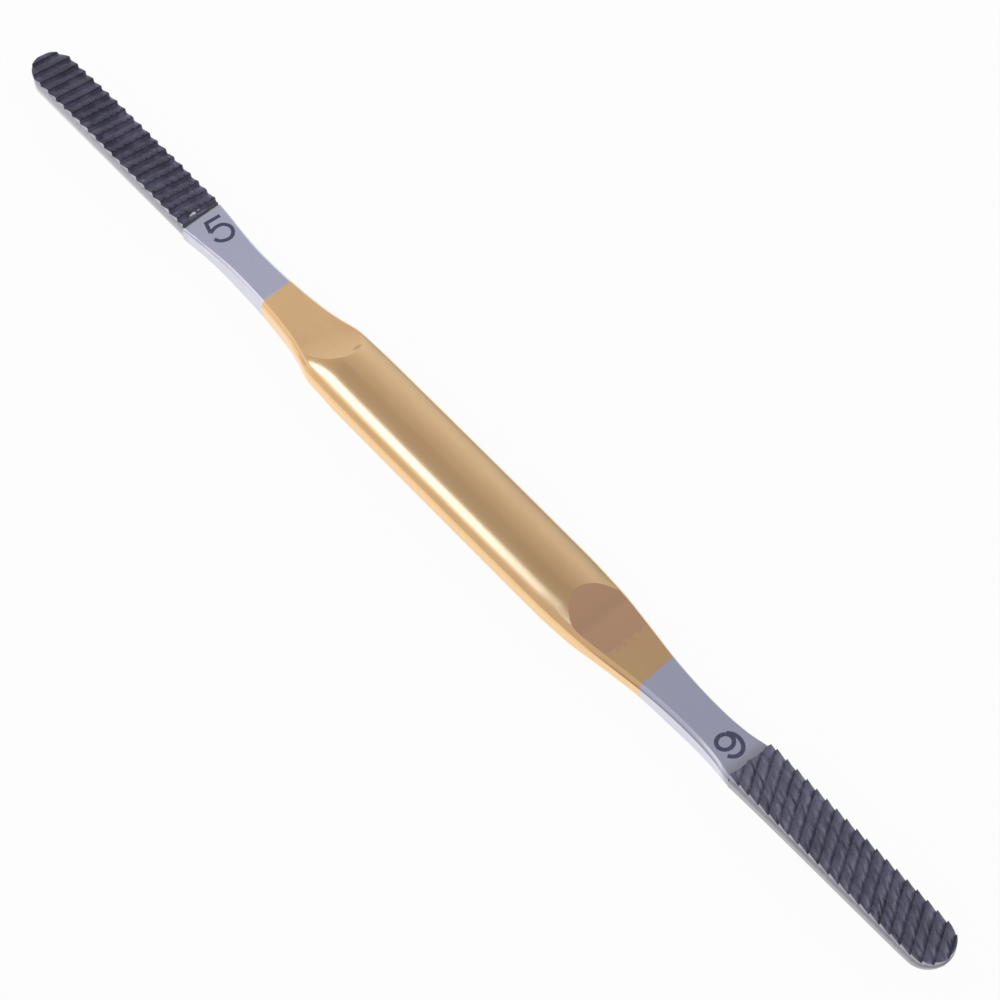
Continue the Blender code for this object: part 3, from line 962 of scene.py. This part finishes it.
def body_finish():
    """Satin steel with a gold-plated middle."""
    n = Nodes(bpy.data.materials.new("plated_steel"))
    place = n.place()
    x, y, z = n.add("ShaderNodeSeparateXYZ", {"Vector": place}).outputs
    brushed = n.noise(place, (60.0, 5200.0, 5200.0), 4.0, 0.6)
    cloudy = n.noise(place, (90.0, 260.0, 260.0), 4.0, 0.6)
    broad = n.noise(place, (28.0, 60.0, 60.0), 2.0, 0.5)
    ragged = n.noise(place, (900.0, 900.0, 900.0), 3.0, 0.6)
    plated = plating_mask(n, x, y, ragged)

    gold = n.blend(n.between(cloudy, 0.3, 0.7), GOLD, DEEPER_GOLD)
    gold = n.blend(stain_mask(n, x, z, ragged), gold, BROWN_GOLD)
    steel = n.blend(n.between(cloudy, 0.35, 0.65), STEEL, DULLER_STEEL)
    # painted highlight along the bevel of the narrower rasp's neck
    steel = n.blend(painted_bevel_highlight(n, x, z), steel, PAINTED_EDGE_HIGHLIGHT)
    steel = n.blend(n.between(x, *NARROW_BLADE, 1.0, 0.0), steel, BLADE_SIDE_5)
    # painted shade: the darker copy of the ground steel on the wider rasp's blade
    steel = n.blend(n.between(x, *WIDE_BLADE), steel, SHADED_BLADE_SIDE_6)
    base = n.blend(plated, steel, gold)
    # painted shade on the upper wall and bevel of the wider rasp's neck
    base = n.blend(painted_neck_shade(n, x, z), base, PAINTED_SHADE_DARK)
    # painted shade along the far edge of the facet by the narrower rasp
    base = n.blend(painted_edge_shade_mask(n, place), base, EDGE_SHADE_BROWN)

    rough_steel = n.between(cloudy, 0.3, 0.7, 0.15, 0.20)
    rough_gold = n.between(broad, 0.3, 0.7, 0.12, 0.16)
    rougher = n.math("MULTIPLY", plated, n.math("SUBTRACT", rough_gold, rough_steel))
    roughness = n.math("ADD", rougher, rough_steel)
    normal = n.bump(brushed, 0.0016 * MM, 0.6, fuller_walls(n, x, z))
    normal = n.bump(broad, 0.02 * MM, 0.5, normal)
    return n.finish(
        Base_Color=base,
        Metallic=1.0,
        Roughness=roughness,
        Normal=normal,
        Coat_Weight=n.math("MULTIPLY", plated, 0.6),
        Coat_Roughness=0.12,
        Coat_Normal=normal,
    )


def carbide_finish(end, crest, valley):
    """The dark, finely granular faces of the cut teeth, streaked along the rows, with painted light making
    them paler in the valleys to lift the valleys' shade.
    """
    n = Nodes(bpy.data.materials.new(f"carbide_cut_{end.number}"))
    place = n.place()
    x, _, z = n.add("ShaderNodeSeparateXYZ", {"Vector": place}).outputs
    start = HALF_LENGTH - end.relief_length
    relief = n.along(n.math("ABSOLUTE", x), start, HALF_LENGTH, 0.0, end.tip_relief)
    depth = n.math("SUBTRACT", end.crest, n.math("ADD", z, relief))
    sunk = n.between(depth, 0.05 * MM, 0.9 * TOOTH_DEPTH)

    cells = {"Rotation": (0.0, 0.0, end.tooth_angle), "Scale": (0.35 * MM, 1.5 * MM, 0.7 * MM)}
    rows = n.add("ShaderNodeMapping", {"Vector": place, **cells}, vector_type="TEXTURE").outputs[0]
    streaks = n.noise(rows, (1.0, 1.0, 1.0), 4.0, 0.6)
    grain = n.noise(place, (6000.0, 6000.0, 6000.0), 3.0, 0.7)
    tone = n.noise(place, (420.0, 420.0, 420.0), 3.0, 0.6)
    # painted light: the deeper a face lies, the paler its colour, lifting the valleys' shade
    base = n.blend(sunk, crest, valley)
    base = n.blend(n.between(tone, 0.35, 0.65, 0.0, 0.35), base, colour(0.05, 0.045, 0.06))
    base = n.blend(n.between(streaks, 0.3, 0.45, 0.3, 0.0), base, colour(0.04, 0.038, 0.06))
    # paler towards the plate's base
    pale_share = n.along(n.math("ABSOLUTE", x), 63.0 * MM, 82.0 * MM, end.base_tone, 0.0)
    base = n.blend(pale_share, base, colour(0.50, 0.48, 0.58))
    roughness = n.between(grain, 0.3, 0.7, 0.42, 0.58)
    normal = n.bump(streaks, 0.05 * MM, 0.7)
    normal = n.bump(grain, 0.012 * MM, 0.6, normal)
    return n.finish(Base_Color=base, Metallic=0.85, Roughness=roughness, Normal=normal)


def ground_carbide_finish():
    """The plate's sides, ground bright together with the blade's, with a burnished edge along the top."""
    n = Nodes(bpy.data.materials.new("carbide_ground"))
    place = n.place()
    x, _, z = n.add("ShaderNodeSeparateXYZ", {"Vector": place}).outputs
    lines = n.noise(place, (150.0, 150.0, 9000.0), 4.0, 0.6)
    tone = n.noise(place, (500.0, 500.0, 500.0), 3.0, 0.6)
    base = n.blend(n.between(tone, 0.35, 0.65), colour(0.46, 0.45, 0.48), colour(0.56, 0.55, 0.58))
    inner = n.between(n.math("ABSOLUTE", x), 64.0 * MM, 66.0 * MM, 1.0, 0.0)
    inner = n.math("MULTIPLY", inner, n.between(n.math("ABSOLUTE", n.facing()["X"]), 0.6, 0.8))
    base = n.blend(inner, base, colour(0.17, 0.16, 0.18))
    # painted shade: the wider rasp's ground plate sides take a darker copy of this colour
    base = n.blend(n.between(x, 0.0, 1.0 * MM), base, SHADED_SIDE_SHARE, "MULTIPLY")
    roughness = n.math("ADD", n.between(tone, 0.3, 0.7, 0.26, 0.36), n.math("MULTIPLY", inner, 0.2))
    normal = turned_up(n, n.between(z, 5.65 * MM, 5.9 * MM, WALL_TURN, 0.1))
    normal = n.bump(lines, 0.004 * MM, 0.5, normal)
    return n.finish(Base_Color=base, Metallic=1.0, Roughness=roughness, Normal=normal)


def solder_finish():
    """Lumpy silver solder."""
    n = Nodes(bpy.data.materials.new("silver_solder"))
    place = n.place()
    lumps = n.noise(place, (1500.0, 1500.0, 1500.0), 3.0, 0.5)
    base = n.blend(n.between(lumps, 0.35, 0.7), colour(0.62, 0.60, 0.58), colour(0.82, 0.80, 0.77))
    normal = n.bump(lumps, 0.05 * MM, 0.7, turned_up(n, 0.7))
    return n.finish(Base_Color=base, Metallic=1.0, Roughness=0.28, Normal=normal)


def mark_finish():
    """The dark oxide of the number marks, a little uneven."""
    n = Nodes(bpy.data.materials.new("number_mark"))
    place = n.place()
    grain = n.noise(place, (3500.0, 3500.0, 3500.0), 3.0, 0.6)
    base = n.blend(n.between(grain, 0.3, 0.7), colour(0.060, 0.062, 0.10), colour(0.115, 0.118, 0.17))
    return n.finish(Base_Color=base, Metallic=0.3, Roughness=0.55, Normal=n.bump(grain, 0.01 * MM, 0.5))


# Stage, lights and camera


FLOOR_SHARE = 0.95


def white_for_rays(n, surface, white, share):
    """The surface, mixed with plain white where the camera, a reflection or a refraction sees it."""
    rays = n.add("ShaderNodeLightPath")
    seen = n.math("MULTIPLY", rays.outputs["Is Camera Ray"], share)
    seen = n.math("MAXIMUM", seen, rays.outputs["Is Glossy Ray"])
    seen = n.math("MAXIMUM", seen, rays.outputs["Is Transmission Ray"])
    mixed = n.add("ShaderNodeMixShader", {0: seen, 1: surface, 2: white})
    return mixed.outputs[0]


def make_floor():
    form = bmesh.new()
    bmesh.ops.create_grid(form, x_segments=1, y_segments=1, size=6.0)
    floor = made("floor", mesh_from("floor", form))
    n = Nodes(bpy.data.materials.new("floor_white"))
    output = n.tree.nodes["Material Output"]
    surface = n.add("ShaderNodeBsdfDiffuse", {"Color": colour(0.93, 0.925, 0.94)}).outputs[0]
    white = n.add("ShaderNodeEmission", {"Color": colour(1.0, 1.0, 1.0), "Strength": 1.0}).outputs[0]
    n.put(output.inputs["Surface"], white_for_rays(n, surface, white, FLOOR_SHARE))
    floor.data.materials.append(n.owner)


# Brightness of the studio by direction: by Y and X overhead, and by height near the horizon
OVERHEAD = (
    (-0.90, 0.70),
    (-0.60, 0.70),
    (-0.30, 0.62),
    (0.00, 0.47),
    (0.16, 0.435),
    (0.285, 0.43),
    (0.30, 0.48),
    (0.42, 0.53),
    (0.60, 0.70),
    (0.67, 0.655),
    (0.76, 0.47),
)
SIDEWAYS = ((-0.60, 0.84), (-0.55, 0.79), (-0.50, 0.69), (-0.41, 0.62), (-0.33, 0.51), (-0.17, 0.55))
SIDEWAYS_SCALE = 1 / 0.62
LOW = ((0.05, 1.0), (0.30, 0.0))
HORIZON = colour(0.62, 0.62, 0.62)
COOL = colour(1.0, 1.0, 1.15)
SKY = colour(1.0, 1.08, 1.35)
WHITE = colour(1.0, 1.0, 1.0)


def make_world():
    """An even grey studio, lighter at its back and left, and white where the camera looks past the floor."""
    world = bpy.data.worlds.new("studio")
    bpy.context.scene.world = world
    n = Nodes(world, "Background")
    direction = n.add("ShaderNodeTexCoord").outputs["Generated"]
    parts = n.add("ShaderNodeSeparateXYZ", {0: direction})
    overhead = n.ramp(parts.outputs["Y"], OVERHEAD)
    sideways = n.math("MULTIPLY", n.ramp(parts.outputs["X"], SIDEWAYS), SIDEWAYS_SCALE)
    studio = n.blend(1.0, overhead, sideways, "MULTIPLY")
    studio = n.blend(n.ramp(parts.outputs["Z"], LOW), studio, HORIZON)
    tint = n.blend(n.along(parts.outputs["Y"], 0.35, 0.65, 0.0, 1.0), COOL, SKY)
    studio = n.blend(1.0, studio, tint, "MULTIPLY")
    seen = n.add("ShaderNodeLightPath").outputs["Is Camera Ray"]
    n.finish(Color=n.blend(seen, studio, WHITE), Strength=1.0)


def softbox(name, direction, distance, size, radiance, tint=(1.0, 1.0, 1.0)):
    """A rectangular light seen in that direction from the tool. Its long side runs along X."""
    light = bpy.data.lights.new(name, "AREA")
    light.shape = "RECTANGLE"
    light.size, light.size_y = size
    light.energy = radiance * math.pi * size[0] * size[1]
    light.color = tint
    holder = bpy.data.objects.new(name, light)
    bpy.context.scene.collection.objects.link(holder)
    away = Vector(direction).normalized()
    along = Vector((1.0, 0.0, 0.0))
    across = away.cross(along).normalized()
    along = across.cross(away).normalized()
    turn = Matrix((along, across, away)).transposed().to_4x4()
    holder.matrix_world = Matrix.Translation(away * distance) @ turn


DAYLIGHT = (0.40, 0.57, 1.0)  # a blue window, which gold reflects as white


def make_lights():
    softbox("overhead_strip", (-0.48, -0.049, 0.87), 1.2, (0.30, 0.163), 3.2, DAYLIGHT)
    softbox("overhead_fade", (-0.48, -0.27, 0.84), 1.2, (0.30, 0.38), 0.35)
    softbox("fill", (0.45, 0.45, 0.77), 1.8, (0.9, 0.9), 1.0)


def make_camera():
    turn, tilt = CAMERA_TURN, CAMERA_ELEVATION
    right = Vector((math.cos(turn), math.sin(turn), 0.0))
    ground = Vector((-math.sin(turn), math.cos(turn), 0.0))
    sky = Vector((0.0, 0.0, 1.0))
    up = math.sin(tilt) * ground + math.cos(tilt) * sky
    forward = math.cos(tilt) * ground - math.sin(tilt) * sky
    data = bpy.data.cameras.new("camera")
    data.lens = LENS
    data.sensor_width = SENSOR_WIDTH
    data.clip_start = 0.01
    data.clip_end = 20.0
    camera = bpy.data.objects.new("camera", data)
    bpy.context.scene.collection.objects.link(camera)
    aim = Vector((0.0, 0.0, CAMERA_AIM_HEIGHT))
    place = aim - CAMERA_DISTANCE * forward + CAMERA_RIGHT * right + CAMERA_UP * up
    camera.matrix_world = Matrix.Translation(place) @ Matrix((right, up, -forward)).transposed().to_4x4()
    bpy.context.scene.camera = camera


# The pieces


def dress(piece, slot, *nodes):
    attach(piece, BODY)
    if nodes:
        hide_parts(*nodes)


def make_body(finish):
    body = made("steel_body", body_mesh(), finish)
    dress(body, "file_body", "file_body")


def make_plates(side_finish, solder):
    # each plate's second colour is its valleys' painted light
    for end, crest, valley in (
        (END_5, colour(0.137, 0.131, 0.159), colour(0.36, 0.342, 0.41)),
        (END_6, colour(0.150, 0.143, 0.176), colour(0.29, 0.276, 0.33)),
    ):
        cut_finish = carbide_finish(end, crest, valley)
        plate = made(f"plate_{end.number}_toothed", plate_mesh(end, side_finish, cut_finish))
        dress(plate, "rasp_plate", f"rasp_plate_{end.number}")
        outline = [(x, y, SEAT_TOP) for x, y in plate_outline(end, 0.03 * MM)]
        seam = made(f"solder_{end.number}", extruded("solder", outline, (0.0, 0.0, BRAZE_GAP)), solder)
        dress(seam, "file_body")
        dress(made(f"solder_fillet_{end.number}", base_fillet(end), solder), "file_body")
    dress(made("solder_beads_5", solder_beads(END_5, SOLDER_BEADS), solder), "file_body")


def make_marks(finish):
    """The rasps' numbers, each with its top towards its own end."""
    five = [FIVE_BAR, curved(FIVE_BOWL, 5)]
    bowl = ellipse(SIX_BOWL_CENTRE, SIX_BOWL_RADII, 180.0, 540.0, 40)
    stem = ellipse(SIX_STEM_CENTRE, SIX_STEM_RADII, 32.0, 238.0, 32)
    for number, strokes, width, place, turn in (
        (5, five, FIVE_STROKE, FIVE_PLACE, 90.0),
        (6, [bowl, stem], SIX_STROKE, SIX_PLACE, -90.0),
    ):
        mesh = mark_mesh(f"number_{number}", strokes, width, place, math.radians(turn))
        dress(made(f"number_{number}", mesh, finish), "file_body")


def main():
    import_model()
    make_camera()
    make_body(body_finish())
    make_plates(ground_carbide_finish(), solder_finish())
    make_marks(mark_finish())
    make_floor()
    make_world()
    make_lights()
    bpy.context.scene.view_settings.view_transform = "Standard"


main()
